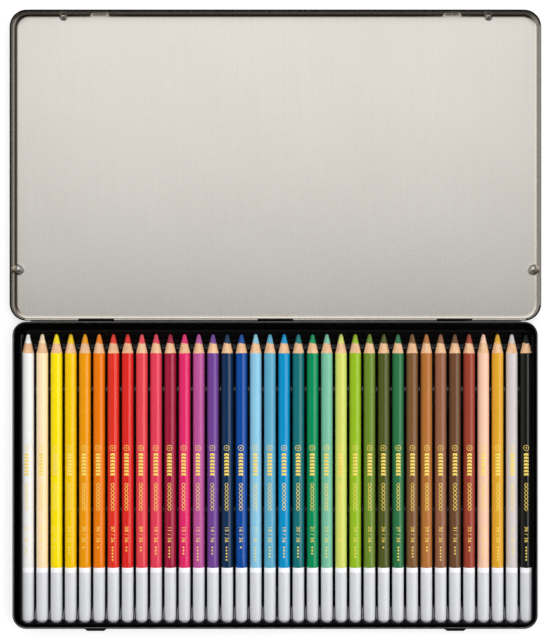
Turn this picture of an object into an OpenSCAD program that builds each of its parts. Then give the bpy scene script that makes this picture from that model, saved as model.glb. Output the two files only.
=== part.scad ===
// Flat hinged tin of 36 round coloured pencils, shown lying open.
// X runs along the row of pencils, +Y points towards the hinge and the lid, +Z is up.
// The origin is the centre of the base's underside. Lengths are in millimetres.

/* [Pencils] */
// Length of a pencil, from its blunt end to its point
pencil_len = 175; // [165:1:185]
// Diameter of the round barrel
pencil_d = 7; // [6.6:0.1:7.6]
// Diameter of the coloured lead
lead_d = 4; // [3.2:0.1:4.4]
// Length of the sharpened cone
sharp_len = 12; // [10:0.5:14]
// Diameter of the rounded point
point_d = 1.9; // [1.2:0.1:2.2]
// Height of the domed blunt end
dome_h = 2.2; // [1.4:0.1:3]
// Solid wood behind the lead at the blunt end
blind_end = 1.5; // [1:0.5:4]
// Glue line between the lead and its bore
glue_gap = 0.05; // [0.03:0.01:0.1]
// Space between one barrel and the next
barrel_gap = 1.6; // [1.4:0.1:2.4]

/* [Tray] */
// Thickness of the tray's formed sheet
tray_t = 0.45; // [0.4:0.05:0.6]
// Clearance of a barrel in its groove
groove_gap = 0.15; // [0.1:0.05:0.25]
// Extra room beside a blunt end, above its groove
end_ease = 0.05; // [0.03:0.01:0.1]
// Clearance under the tray
seat_gap = 0.1; // [0.05:0.05:0.2]
// Width of the side rims beyond the outer grooves
side_rim = 1.15; // [1:0.05:2]
// Thickness of the front web beyond the blunt ends
front_web = 1.05; // [0.9:0.05:1.5]
// Width of the ledge behind the points
ledge_w = 2.3; // [2:0.1:5]
// Space between a point and the ledge
point_gap = 0.3; // [0.2:0.1:2]
// Height of the rim, web and ledge over the pencils' axes
rim_rise = 2; // [1:0.1:3]
// Depth of the low ribs' tops below the pencils' axes
rib_drop = 1.9; // [1.5:0.1:2.2]
// Depth of the raised bands' tops below the pencils' axes
band_drop = 0.2; // [0.1:0.1:0.8]
// Height of the flat floor over the grooves' lowest line
floor_rise = 0.2; // [0.15:0.05:0.4]
// Length of each raised band
band_len = 10.6; // [8:0.1:14]
// Length of the slopes up to each raised band
band_slope = 3.5; // [2:0.1:5]
// Middle of the front raised band, from the blunt ends
front_band_at = 61.6; // [58:0.1:66]
// Middle of the rear raised band, from the blunt ends
rear_band_at = 134.4; // [128:0.1:138]
// Start of the finger trough, from the blunt ends
trough_from = 10; // [8:0.1:14]
// End of the finger trough, from the blunt ends
trough_to = 39.6; // [34:0.1:44]
// Width of the front web's top behind the blunt ends
web_w = 2.2; // [1.5:0.1:3]
// Thickness of the stiffening rib in the middle of the trough
stiffener_t = 0.9; // [0.6:0.1:1.2]
// End of the stiffening rib, from the blunt ends
stiffener_to = 22; // [16:0.5:30]
// Distance from the ribs' rear ends to the points
rib_end = 7; // [6.5:0.1:9]
// Distance from the crossbar's middle to the points
bar_at = 4; // [3.5:0.1:4.5]
// Width of the crossbar under the points
bar_w = 2.2; // [1.6:0.1:2.4]
// Depth of the crossbar's top below the pencils' axes
bar_drop = 2.5; // [2.4:0.1:3]
// How much tighter the tray's corners are than the inside of the base's rim
corner_ease = 1; // [0.9:0.05:1.4]

/* [Base] */
// Thickness of the tinplate
sheet_t = 0.3; // [0.25:0.05:0.35]
// Height of the base's rolled rim
base_h = 11.3; // [10.5:0.1:13]
// Outer diameter of the base's rolled rim
curl_d = 1; // [0.9:0.1:1.2]
// Outer radius of the base's corners, seen from above
corner_r = 8.4; // [7.6:0.1:8.6]
// Radius where the base's walls meet its floor
base_foot_r = 1.4; // [1:0.1:1.5]
// Play of the tray at the front
play_front = 0.2; // [0.15:0.05:0.6]
// Play of the tray at the hinge side
play_rear = 3.6; // [0.5:0.1:4.5]
// Play of the tray at each end
play_side = 1.5; // [1.2:0.1:3]
// How far the loose tray lies to the right of the middle
tray_shift = 0.9; // [-1:0.1:1]

/* [Finger lugs] */
// Distance of each lug from the middle
lug_x = 108.6; // [90:0.2:120]
// Length of a lug at the wall
lug_len = 16; // [12:0.5:20]
// Length of a lug's flat front
lug_flat = 10.2; // [6:0.2:11]
// How far a lug stands out of the front wall
lug_reach = 2.3; // [1.6:0.1:2.6]
// Height of a lug's underside
lug_from = 2; // [1.6:0.1:2.6]
// Gap between a lug and the closed lid's hem
lug_gap = 0.4; // [0.3:0.1:1]

/* [Lid] */
// Space between the closed lid's hem and the base's front and hinge walls
skirt_gap = 0.45; // [0.4:0.05:0.8]
// Space between the closed lid's hem and the base's end walls
end_space = 1.4; // [0.5:0.1:1.6]
// Diameter of the round hem along the lid's edge
hem_d = 1.1; // [0.9:0.05:1.2]
// Space inside the closed lid above the base's rim
headroom = 2.4; // [2:0.1:3.4]
// Radius where the lid's walls meet its panel
lid_foot_r = 3; // [1.6:0.1:3.4]
// Outer radius of the lid's corners, seen from above
lid_corner_r = 10.4; // [9:0.1:12]
// Distance of each pressed pad from the middle
pad_x = 107; // [90:1:120]
// Length of a pressed pad
pad_len = 12; // [8:0.5:16]
// Diameter of the pressed stops in the side walls
side_stop_d = 6; // [5:0.1:7]
// Diameter of the pressed stops in the front wall
front_stop_d = 4.6; // [4.5:0.1:6]
// Distance from the side stops' centres to the lid's outside
side_stop_inset = 3.9; // [3.4:0.1:4.6]
// Distance from the front stops' centres to the lid's outside
front_stop_inset = 2.7; // [2.5:0.1:4.5]
// Distance of the side stops from the hinge wall
side_stop_at = 31.2; // [24:0.1:50]
// Distance of the front stops from the middle
front_stop_x = 129; // [122:0.1:132]
// Gap between the stops and the closed base's rim
stop_gap = 0.2; // [0.15:0.05:0.5]

/* [Hinge] */
// Distance of each outer hinge tab from the middle
tab_x = 108; // [90:1:120]
// Length of a hinge tab
tab_len = 21.4; // [16:0.2:26]
// Running clearance of a tab round the lid's hem
tab_clearance = 0.1; // [0.06:0.01:0.1]
// Clearance at each end of a tab in its slot
slot_end_gap = 0.5; // [0.3:0.1:1]
// Clearance beyond a tab's back in its slot
slot_back_gap = 0.5; // [0.4:0.1:0.8]
// How far a tab's free end curls up again under the hem, in degrees
tab_wrap = 60; // [30:5:65]

/* [Hidden] */
$fn = 48;
PENCILS = 36;
function two_digits(n) = n < 10 ? str("0", n) : str(n);
function pencil_name(n) = str("pencil_", two_digits(n));

// Small overlap that makes two pieces of one solid merge, and cutters pass right through
bite = 0.1;

// The row of pencils
pitch = pencil_d + barrel_gap;
barrel_r = pencil_d / 2;
groove_r = barrel_r + groove_gap;
row_w = (PENCILS - 1) * pitch;

// The tray round the pencils
tray_w = row_w + 2 * (groove_r + side_rim);
tray_len = front_web + groove_gap + pencil_len + point_gap + ledge_w;

// The base round the tray
curl_r = curl_d / 2;
base_w = tray_w + 2 * (play_side + curl_d);
base_len = tray_len + play_front + play_rear + 2 * curl_d;

// The lid round the base. Its wall is flush with the outer side of its hem.
hem_r = hem_d / 2;
lid_w = base_w + 2 * (end_space + hem_d);
lid_len = base_len + 2 * (skirt_gap + hem_d);

// The hinge line is the middle of the lid's hem, halfway up the closed tin, so the open lid lies flat
closed_h = base_h + headroom + sheet_t;
hinge_z = closed_h / 2;
hinge_y = base_len / 2 + skirt_gap + hem_r;
lid_y = 2 * hinge_y;

// The tray's corners, which pass the inside of the base's rim when the tray lifts
tray_corner_r = corner_r - curl_d - corner_ease;

// Heights of the tray and the pencils
tray_z = sheet_t + seat_gap;
groove_z = tray_z + tray_t;
axis_z = groove_z + groove_r;
rim_z = axis_z + rim_rise;
rib_z = axis_z - rib_drop;
band_z = axis_z - band_drop;
floor_z = groove_z + floor_rise;
bar_z = axis_z - bar_drop;

// Places along the pencils
tray_front_y = -base_len / 2 + curl_d + play_front;
tray_rear_y = tray_front_y + tray_len;
blunt_y = tray_front_y + front_web + groove_gap;
point_y = blunt_y + pencil_len;
function pencil_x(n) = tray_shift + (n - (PENCILS + 1) / 2) * pitch;

// Paint of each pencil, in the order of the row
PAINTS = [
  "white", "bisque", "yellow", "gold", "orange", "darkorange",
  "orangered", "red", "indianred", "crimson", "maroon", "deeppink",
  "mediumvioletred", "indigo", "navy", "mediumblue", "lightskyblue", "skyblue",
  "deepskyblue", "teal", "green", "mediumaquamarine", "yellowgreen", "limegreen",
  "olive", "darkolivegreen", "olivedrab", "seagreen", "sienna", "peru",
  "rosybrown", "saddlebrown", "brown", "peachpuff", "goldenrod", "lightgray"
];

// ---- Pressed pans -------------------------------------------------------------------------------

// Carries a wall section round a rectangle with round corners. The section's x runs outwards
// from the line through the corners' centres, and its y runs up.
module round_the_pan(width, length, corner) {
  half_x = width / 2 - corner;
  half_y = length / 2 - corner;
  for (turn = [0, 180]) rotate([0, 0, turn]) {
    translate([-half_x, half_y, 0]) rotate([90, 0, 90]) linear_extrude(2 * half_x) children();
    translate([half_x, half_y, 0]) rotate([90, 0, 0]) linear_extrude(2 * half_y) children();
    translate([half_x, half_y, 0]) rotate_extrude(angle = 90) children();
    translate([-half_x, half_y, 0]) rotate([0, 0, 90]) rotate_extrude(angle = 90) children();
  }
}

// Section of a pan's floor, foot radius and wall, out to the outside at x = reach
module pan_section(reach, foot_r, wall_top) {
  square([reach - foot_r, sheet_t]);
  translate([reach - foot_r, foot_r]) intersection() {
    difference() {
      circle(foot_r);
      circle(foot_r - sheet_t);
    }
    translate([0, -foot_r]) square(foot_r);
  }
  translate([reach - sheet_t, foot_r]) square([sheet_t, wall_top - foot_r]);
}

// Flat middle of a pan's floor
module pan_middle(width, length, corner) {
  translate([-width / 2 + corner, -length / 2 + corner, 0])
    cube([width - 2 * corner, length - 2 * corner, sheet_t]);
}

// ---- Base ---------------------------------------------------------------------------------------

// The rim's curl, turned inwards so that the lid slides down outside it
module curl_section() {
  translate([corner_r - curl_r, base_h - curl_r]) difference() {
    circle(curl_r);
    circle(curl_r - sheet_t);
  }
}

// A lug's outline from above, its root along x and its front towards -y. Inset gives the inside.
module lug_outline(inset, root) {
  slope = (lug_len - lug_flat) / 2;
  polygon([
    [-lug_len / 2 + inset, root], [-lug_len / 2 + inset, 0],
    [-lug_len / 2 + slope + inset / 2, -lug_reach + inset],
    [lug_len / 2 - slope - inset / 2, -lug_reach + inset],
    [lug_len / 2 - inset, 0], [lug_len / 2 - inset, root]
  ]);
}

// Height of a lug's top, under the closed lid's hem
lug_top = hinge_z - hem_r - lug_gap;

module lug_outside() {
  translate([0, 0, lug_from]) linear_extrude(lug_top - lug_from)
    lug_outline(0, sheet_t / 2);
}

module lug_inside() {
  translate([0, 0, lug_from + sheet_t]) linear_extrude(lug_top - lug_from - 2 * sheet_t)
    lug_outline(sheet_t, sheet_t + bite);
}

// A tab of the rear wall. It runs out over the lid's hem and curls down behind it and under it.
module hinge_tab() {
  inner_r = hem_r + tab_clearance;
  outer_r = inner_r + sheet_t;
  far = 2 * outer_r;
  tongue = hinge_y - base_len / 2 + sheet_t / 2;
  translate([-tab_len / 2, hinge_y, hinge_z]) {
    translate([0, -tongue, inner_r]) cube([tab_len, tongue, sheet_t]);
    rotate([90, 0, 90]) linear_extrude(tab_len) difference() {
      circle(outer_r);
      circle(inner_r);
      // the side towards the base stays open, from the tongue down to the tab's free end
      polygon([
        [0, 0], [0, far], [-far, far], [-far, -far * cos(tab_wrap)],
        [-far * sin(tab_wrap), -far * cos(tab_wrap)]
      ]);
    }
  }
}

module base() color("#141414") {
  difference() {
    union() {
      pan_middle(base_w, base_len, corner_r);
      round_the_pan(base_w, base_len, corner_r) {
        union() {
          pan_section(corner_r, base_foot_r, base_h - curl_r);
          curl_section();
        }
      }
      for (side = [-1, 1]) translate([side * lug_x, -base_len / 2, 0]) lug_outside();
    }
    for (side = [-1, 1]) translate([side * lug_x, -base_len / 2, 0]) lug_inside();
  }
  for (place = [-1, 0, 1]) translate([place * tab_x, 0, 0]) hinge_tab();
}

// ---- Lid ----------------------------------------------------------------------------------------

// Ball of a pressed stop, whose cap rises to stop_h over the panel's inside
stop_h = headroom - stop_gap;
module stop_ball(cap_d, inset) {
  ball_r = (cap_d * cap_d / 4 + stop_h * stop_h) / (2 * stop_h);
  translate([0, 0, sheet_t + stop_h - ball_r]) sphere(ball_r - inset);
}

// The four stops' places: one in each side wall near the hinge, two in the front wall
module at_side_stops() {
  for (side = [-1, 1])
    translate([side * (lid_w / 2 - side_stop_inset), -lid_len / 2 + side_stop_at, 0]) children();
}

module at_front_stops() {
  for (side = [-1, 1])
    translate([side * front_stop_x, lid_len / 2 - front_stop_inset, 0]) children();
}

// The space that a straight stretch of the lid's wall encloses, seen along it: x inwards, y up
module inside_corner() {
  room = 2 * side_stop_d;
  difference() {
    square(room);
    difference() {
      square(lid_foot_r);
      translate([lid_foot_r, lid_foot_r]) circle(lid_foot_r - sheet_t / 2);
    }
    square([sheet_t / 2, room]);
    square([room, sheet_t / 2]);
  }
}

module lid_stops() {
  intersection() {
    at_side_stops() stop_ball(side_stop_d, 0);
    for (turn = [0, 180]) rotate([0, 0, turn])
      translate([-lid_w / 2, lid_len / 2 - lid_corner_r, 0])
        rotate([90, 0, 0]) linear_extrude(lid_len - 2 * lid_corner_r) inside_corner();
  }
  intersection() {
    at_front_stops() stop_ball(front_stop_d, 0);
    translate([lid_w / 2 - lid_corner_r, lid_len / 2, 0])
      rotate([90, 0, -90]) linear_extrude(lid_w - 2 * lid_corner_r) inside_corner();
  }
}

module stop_hollows() {
  at_side_stops() stop_ball(side_stop_d, sheet_t);
  at_front_stops() stop_ball(front_stop_d, sheet_t);
}

// A pressed pad squares off the foot radius of the lid's front wall. First its sheet is added
// outside the radius, and then its inside is pressed square.
module pad_sheet() {
  translate([-pad_len / 2, 0, 0]) rotate([90, 0, 90]) linear_extrude(pad_len) difference() {
    translate([-lid_foot_r, 0]) square(lid_foot_r);
    translate([-lid_foot_r, lid_foot_r]) circle(lid_foot_r - sheet_t);
  }
}

module pad_hollow() {
  translate([-pad_len / 2 + sheet_t, -lid_foot_r, sheet_t])
    cube([pad_len - 2 * sheet_t, lid_foot_r - sheet_t, lid_foot_r - sheet_t]);
}

module at_pads() {
  for (side = [-1, 1]) translate([side * pad_x, lid_len / 2, 0]) children();
}

// Slots in the hinge wall, just under the hem, that the tabs pass through
slot_reach = hem_r + tab_clearance + sheet_t + slot_back_gap;
module hinge_slots() {
  for (place = [-1, 0, 1])
    translate([place * tab_x - tab_len / 2 - slot_end_gap, -lid_len / 2 - bite, hinge_z - slot_reach])
      cube([tab_len + 2 * slot_end_gap, sheet_t + 2 * bite, slot_reach + bite]);
}

module lid() color("#b9b3a8") translate([0, lid_y, 0]) {
  difference() {
    union() {
      pan_middle(lid_w, lid_len, lid_corner_r);
      round_the_pan(lid_w, lid_len, lid_corner_r) pan_section(lid_corner_r, lid_foot_r, hinge_z);
      at_pads() pad_sheet();
      lid_stops();
    }
    at_pads() pad_hollow();
    stop_hollows();
    hinge_slots();
  }
  round_the_pan(lid_w, lid_len, lid_corner_r)
    translate([lid_corner_r - hem_r, hinge_z]) circle(hem_r);
}

// ---- Tray ---------------------------------------------------------------------------------------

// Heights along the ribs, from the finger trough to behind the rear band, as points [y, z]
rib_ramp = 1;
function over_a_band(at) = [
  [at - band_len / 2 - band_slope, rib_z], [at - band_len / 2, band_z],
  [at + band_len / 2, band_z], [at + band_len / 2 + band_slope, rib_z]
];
ribs_to = pencil_len - rib_end;
rib_tops = concat(
  [[trough_to, floor_z], [trough_to + rib_ramp, rib_z]],
  over_a_band(front_band_at), over_a_band(rear_band_at),
  [[ribs_to - 2 * rib_ramp, rib_z], [ribs_to, floor_z]]
);

// The tray seen from its end, as a solid side view, before the grooves are cut
module tray_side_view() {
  web_y = -groove_gap - front_web;
  ledge_y = pencil_len + point_gap;
  polygon(concat(
    [[web_y, tray_z], [web_y, rim_z], [web_w, rim_z], [trough_from, floor_z]],
    rib_tops,
    [[pencil_len - bar_at - bar_w / 2, floor_z], [pencil_len - bar_at - bar_w / 4, bar_z]],
    [[pencil_len - bar_at + bar_w / 4, bar_z], [pencil_len - bar_at + bar_w / 2, floor_z]],
    [[ledge_y, floor_z], [ledge_y, rim_z], [ledge_y + ledge_w, rim_z], [ledge_y + ledge_w, tray_z]]
  ));
}

// Extrudes a side view, drawn as [distance from the blunt ends, height], across the row
module across(width) {
  translate([tray_shift - width / 2, blunt_y, 0]) rotate([90, 0, 90]) linear_extrude(width) children();
}

// Outline of a pencil's blunt half, a clearance larger all round, as points [radius, along]
function blunt_outline(clearance, to) = let (r = dome_r + clearance, side = barrel_r + clearance)
  concat(arc(0, dome_r, r, -90, -90 + asin(side / r), 3), [[side, to]]);

// Groove of one pencil, round like its barrel and domed like its blunt end
module groove(widen) {
  to = ribs_to + rib_ramp;
  translate([0, 0, axis_z]) rotate([-90, 0, 0])
    rotate_extrude() polygon(concat(blunt_outline(groove_gap + widen, to), [[0, to]]));
}

// Room above a groove's blunt end, with upright sides so that the pencil lifts out
upright_gap = groove_gap + end_ease;
module end_room() {
  outline = blunt_outline(upright_gap, trough_from);
  translate([0, 0, axis_z]) linear_extrude(rim_rise + bite) polygon(concat(
    outline, [for (i = [len(outline) - 1:-1:1]) [-outline[i][0], outline[i][1]]]
  ));
}

// Side rims, from the web to the ledge
module side_rims() {
  foot_w = side_rim + groove_r - barrel_r * 0.86;
  top_w = side_rim + groove_gap - upright_gap;
  for (side = [0, 1]) translate([tray_shift, 0, 0]) mirror([side, 0, 0]) {
    translate([tray_w / 2 - foot_w, tray_front_y, tray_z])
      cube([foot_w, tray_len, axis_z - tray_z]);
    translate([tray_w / 2 - top_w, tray_front_y, tray_z])
      cube([top_w, tray_len, rim_z - tray_z]);
  }
}

// The hollow under the ribs, which leaves a sheet of even thickness
module under_the_ribs() {
  difference() {
    across(row_w) polygon(concat(
      [[trough_to + tray_t, tray_z - bite]],
      [for (p = rib_tops) if (p[1] > floor_z) [p[0], p[1] - tray_t]],
      [[ribs_to - tray_t - rib_ramp, tray_z - bite]]
    ));
    for (n = [1:PENCILS]) translate([pencil_x(n), blunt_y, 0]) groove(tray_t * 0.9);
  }
}

// The hollow under the rear ledge
module under_the_ledge() {
  ledge_y = pencil_len + point_gap;
  across(tray_w - 2 * tray_corner_r)
    polygon([
      [ledge_y + tray_t, tray_z - bite], [ledge_y + tray_t, rim_z - tray_t],
      [ledge_y + ledge_w - tray_t, rim_z - tray_t], [ledge_y + ledge_w - tray_t, tray_z - bite]
    ]);
}

// What is taken off round the tray's four corners
module round_corners() {
  for (x = [0, 1], y = [0, 1])
    translate([tray_shift, (tray_front_y + tray_rear_y) / 2, tray_z - bite])
      mirror([x, 0, 0]) mirror([0, y, 0])
        translate([tray_w / 2 - tray_corner_r, tray_len / 2 - tray_corner_r, 0])
          linear_extrude(rim_z - tray_z + 2 * bite) difference() {
            square(tray_corner_r + bite);
            circle(tray_corner_r);
          }
}

module stiffener() {
  across(stiffener_t) polygon([
    [0, tray_z], [0, rim_z - 2 * tray_t], [web_w, rim_z - 2 * tray_t],
    [stiffener_to - 2 * rib_ramp, band_z], [stiffener_to, floor_z], [stiffener_to, tray_z]
  ]);
}

module tray() color("#1c1c1c") {
  difference() {
    union() {
      across(tray_w) tray_side_view();
      side_rims();
    }
    for (n = [1:PENCILS]) translate([pencil_x(n), blunt_y, 0]) {
      groove(0);
      end_room();
    }
    under_the_ribs();
    under_the_ledge();
    round_corners();
  }
  stiffener();
}

// ---- Pencils ------------------------------------------------------------------------------------

// Every pencil is drawn upright on its blunt end, as a half section [radius, height]
lead_r = lead_d / 2;
bore_r = lead_r + glue_gap;
point_r = point_d / 2;

// Half angle of the sharpened cone, whose side also touches the rounded point
cone_from = pencil_len - sharp_len;
cone_reach = sharp_len - point_r;
cone_angle = atan(barrel_r / cone_reach) - asin(point_r / sqrt(cone_reach * cone_reach + barrel_r * barrel_r));
function cone_height(r) = cone_from + (barrel_r - r) / tan(cone_angle);

// Points of an arc about [x, z], from one angle to another
function arc(x, z, r, from, to, steps) =
  [for (i = [0:steps]) let (a = from + (to - from) * i / steps) [x + r * cos(a), z + r * sin(a)]];

// Radius of the ball that the domed blunt end is part of
dome_r = (barrel_r * barrel_r + dome_h * dome_h) / (2 * dome_h);
dome_angle = asin(barrel_r / dome_r);

module casing() {
  rotate_extrude() polygon(concat(
    arc(0, dome_r, dome_r, -90, -90 + dome_angle, 5),
    [[barrel_r, cone_from], [bore_r, cone_height(bore_r)]],
    [[bore_r, blind_end], [0, blind_end]]
  ));
}

module lead() {
  rotate_extrude() polygon(concat(
    [[0, blind_end + glue_gap], [lead_r, blind_end + glue_gap], [lead_r, cone_height(lead_r)]],
    arc(0, pencil_len - point_r, point_r, cone_angle, 90, 4)
  ));
}

module pencil(n) {
  translate([pencil_x(n), blunt_y, axis_z]) rotate([-90, 0, 0]) {
    color("burlywood") casing();
    color(PAINTS[n - 1]) lead();
  }
}

base();
lid();
tray();
for (n = [1:PENCILS]) pencil(n);
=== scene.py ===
# %% [markdown]
# # A flat tin of thirty-six coloured pencils
#
# The tin lies open on a white table. Its lid is on its back, and its base holds a black formed
# tray with the pencils side by side. The CAD model gives every place and size, so this script
# only makes the visible skin of each part and its finish, then the light and the camera.

# %% Load the frame
import math
import random

import bmesh
import bpy
import numpy as np
from mathutils import Matrix, Vector


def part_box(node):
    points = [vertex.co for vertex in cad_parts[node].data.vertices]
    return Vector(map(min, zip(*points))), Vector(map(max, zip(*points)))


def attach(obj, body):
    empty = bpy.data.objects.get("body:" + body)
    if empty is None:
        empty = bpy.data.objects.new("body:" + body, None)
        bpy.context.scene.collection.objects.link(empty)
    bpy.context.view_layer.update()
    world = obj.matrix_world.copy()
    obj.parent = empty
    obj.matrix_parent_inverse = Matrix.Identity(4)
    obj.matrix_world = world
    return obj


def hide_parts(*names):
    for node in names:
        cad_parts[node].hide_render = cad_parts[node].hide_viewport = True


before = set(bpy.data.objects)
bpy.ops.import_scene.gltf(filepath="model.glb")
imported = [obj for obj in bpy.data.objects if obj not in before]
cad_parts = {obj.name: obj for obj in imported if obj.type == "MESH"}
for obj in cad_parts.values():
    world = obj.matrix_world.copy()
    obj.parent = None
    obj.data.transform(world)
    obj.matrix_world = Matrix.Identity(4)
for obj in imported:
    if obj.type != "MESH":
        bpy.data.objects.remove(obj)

scene = bpy.context.scene
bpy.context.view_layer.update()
MM = 0.001

# %% [markdown]
# ## Sizes
#
# The boxes of the CAD nodes say where each part is. The other sizes repeat the construction's
# own values: sheet thickness, the radius of each bend, and the places along a pencil. The base's
# box also holds its lugs and tabs, so the length of its pan is given here.

# %% Sizes in millimetres
def box_mm(node):
    low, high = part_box(node)
    return np.array(low) / MM, np.array(high) / MM

SHEET = 0.3
BASE_H, CURL_R, BASE_CORNER, BASE_FOOT = 11.3, 0.5, 8.4, 1.4
HEM_R, LID_CORNER, LID_FOOT = 0.55, 10.4, 3.0
HINGE_Z = 7.0

base_low, base_high = box_mm("base")
lid_low, lid_high = box_mm("lid")
tray_low, tray_high = box_mm("tray")
first_low, first_high = box_mm("pencil_01")
last_low, last_high = box_mm("pencil_36")

PENCILS = 36
ROW_X0 = (first_low[0] + first_high[0]) / 2
PITCH = ((last_low[0] + last_high[0]) / 2 - ROW_X0) / (PENCILS - 1)
BLUNT_Y, POINT_Y = first_low[1], first_high[1]
AXIS_Z = (first_low[2] + first_high[2]) / 2
BARREL_R = (first_high[2] - first_low[2]) / 2
PENCIL_LEN = POINT_Y - BLUNT_Y
DOME_LEN = 2.2
DOME_BALL = (BARREL_R ** 2 + DOME_LEN ** 2) / (2 * DOME_LEN)
BASE_W = base_high[0] - base_low[0]
BASE_LEN = 2 * 92.3
LID_W, LID_LEN = lid_high[0] - lid_low[0], lid_high[1] - lid_low[1]
LID_Y = (lid_high[1] + lid_low[1]) / 2
HINGE_Y = LID_Y / 2
print("pitch", round(PITCH, 3), "barrel radius", round(BARREL_R, 3),
      "hinge line y", round(HINGE_Y, 2))

# %% [markdown]
# ## Helpers for meshes
#
# Most parts here are sheets and turned bodies, which are grids of points wrapped into a surface.
# Building them from lists of points keeps every edge where the maker would put it. The helpers
# number the faces of a grid, join lists, turn millimetre points and faces into a finished object
# at the origin, and read a mesh back into lists.

# %% Lists of points and faces, and objects made from them
def grid_faces(rows, cols, around_rows=False, around_cols=False, flip=False):
    """Faces of a grid of points, which may close on itself along its rows or its columns."""
    faces = []
    for r in range(rows if around_rows else rows - 1):
        for c in range(cols if around_cols else cols - 1):
            here, beyond, right = r * cols, (r + 1) % rows * cols, (c + 1) % cols
            faces.append((here + c, here + right, beyond + right, beyond + c))
    return [f[::-1] for f in faces] if flip else faces


def joined(parts):
    """Joins lists of points, faces and face materials, which stay empty where there's only one."""
    points, faces, marks = [], [], []
    for p, f, m in parts:
        shift = len(points)
        points.extend([tuple(q) for q in p])
        faces.extend([tuple(i + shift for i in face) for face in f])
        marks.extend(m)
    return points, faces, marks


def mesh_lists(mesh):
    """Turns a mesh into lists and removes it."""
    co = np.zeros(len(mesh.vertices) * 3)
    mesh.vertices.foreach_get("co", co)
    faces = [tuple(p.vertices) for p in mesh.polygons]
    bpy.data.meshes.remove(mesh)
    return [tuple(p) for p in co.reshape(-1, 3) / MM], faces, []


def make_piece(name, lists, materials, recalc=True, weld=0.002):
    points, faces, marks = lists
    mesh = bpy.data.meshes.new(name)
    mesh.from_pydata([tuple(p) for p in np.asarray(points, float) * MM], [],
                     [tuple(f) for f in faces])
    for material in materials:
        mesh.materials.append(material)
    if marks:
        mesh.polygons.foreach_set("material_index", np.asarray(marks, np.int32))
    work = bmesh.new()
    work.from_mesh(mesh)
    if weld:
        bmesh.ops.remove_doubles(work, verts=work.verts, dist=weld * MM)
    bmesh.ops.dissolve_degenerate(work, edges=work.edges, dist=1e-7)
    if recalc:
        bmesh.ops.recalc_face_normals(work, faces=work.faces)
    work.to_mesh(mesh)
    work.free()
    mesh.polygons.foreach_set("use_smooth", [True] * len(mesh.polygons))
    piece = bpy.data.objects.new(name, mesh)
    scene.collection.objects.link(piece)
    return piece


def finish_piece(piece, body, slot, *nodes):
    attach(piece, body)
    if nodes:
        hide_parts(*nodes)
    return piece

# %% [markdown]
# ## Shared surface effects
#
# Real finishes are never one flat colour. Three node groups give the variation that several
# materials share: a soft mottle for lacquer, plastic and pigment, the fine grain of rolled
# tinplate, and the fibres of the cedar casing. They put out colours, roughness and heights, and
# each material keeps its own shader.

# %% A small builder for node trees
def add_sockets(tree, direction, sockets):
    """Each socket is a label, a kind and maybe a default. Returns the sockets' identifiers."""
    identifiers = {}
    for label, kind, *default in sockets:
        socket = tree.interface.new_socket(label, in_out=direction, socket_type="NodeSocket" + kind)
        if default:
            socket.default_value = default[0]
        identifiers[label] = socket.identifier
    return identifiers


def new_tree(name, kind, inputs, outputs):
    """A node tree, what it is given, the node that puts out, and its inputs' identifiers."""
    tree = bpy.data.node_groups.new(name, kind)
    identifiers = add_sockets(tree, "INPUT", inputs)
    add_sockets(tree, "OUTPUT", outputs)
    given, out = tree.nodes.new("NodeGroupInput").outputs, tree.nodes.new("NodeGroupOutput")
    return tree, given, out, identifiers


def fill(tree, node, inputs):
    """Sets a node's inputs, by name or number, and links those whose value is a socket."""
    for key, value in inputs.items():
        if isinstance(value, bpy.types.NodeSocket):
            tree.links.new(value, node.inputs[key])
        else:
            node.inputs[key].default_value = value
    return node


def add(tree, kind, inputs, **settings):
    node = tree.nodes.new(kind)
    for key, value in settings.items():
        setattr(node, key, value)
    return fill(tree, node, inputs)


def math_node(tree, operation, a, b=0.0):
    return add(tree, "ShaderNodeMath", {0: a, 1: b}, operation=operation).outputs[0]


def weighted(tree, *pairs):
    """The sum of values, each times its weight."""
    terms = [math_node(tree, "MULTIPLY", value, weight) for value, weight in pairs]
    total = terms[0]
    for term in terms[1:]:
        total = math_node(tree, "ADD", total, term)
    return total


def mix_colour(tree, factor, a, b, blend="MIX"):
    return add(tree, "ShaderNodeMix", {0: factor, 6: a, 7: b}, data_type="RGBA",
               blend_type=blend).outputs[2]


def ranged(tree, value, low, high, to_low, to_high):
    return add(tree, "ShaderNodeMapRange", {
        "Value": value, "From Min": low, "From Max": high, "To Min": to_low,
        "To Max": to_high}).outputs["Result"]


def noise(tree, place, scale, detail, roughness=0.5):
    return add(tree, "ShaderNodeTexNoise", {
        "Vector": place, "Scale": scale, "Detail": detail, "Roughness": roughness}).outputs["Fac"]


def object_place(tree):
    return tree.nodes.new("ShaderNodeTexCoord").outputs["Object"]


def stretched(tree, place, along_y):
    """The place for a noise whose streaks run along y."""
    return add(tree, "ShaderNodeMapping", {
        "Vector": place, "Scale": (1.0, along_y, 1.0)}).outputs["Vector"]

SURFACE = [("Color", "Color"), ("Roughness", "Float"), ("Height", "Float")]

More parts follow.
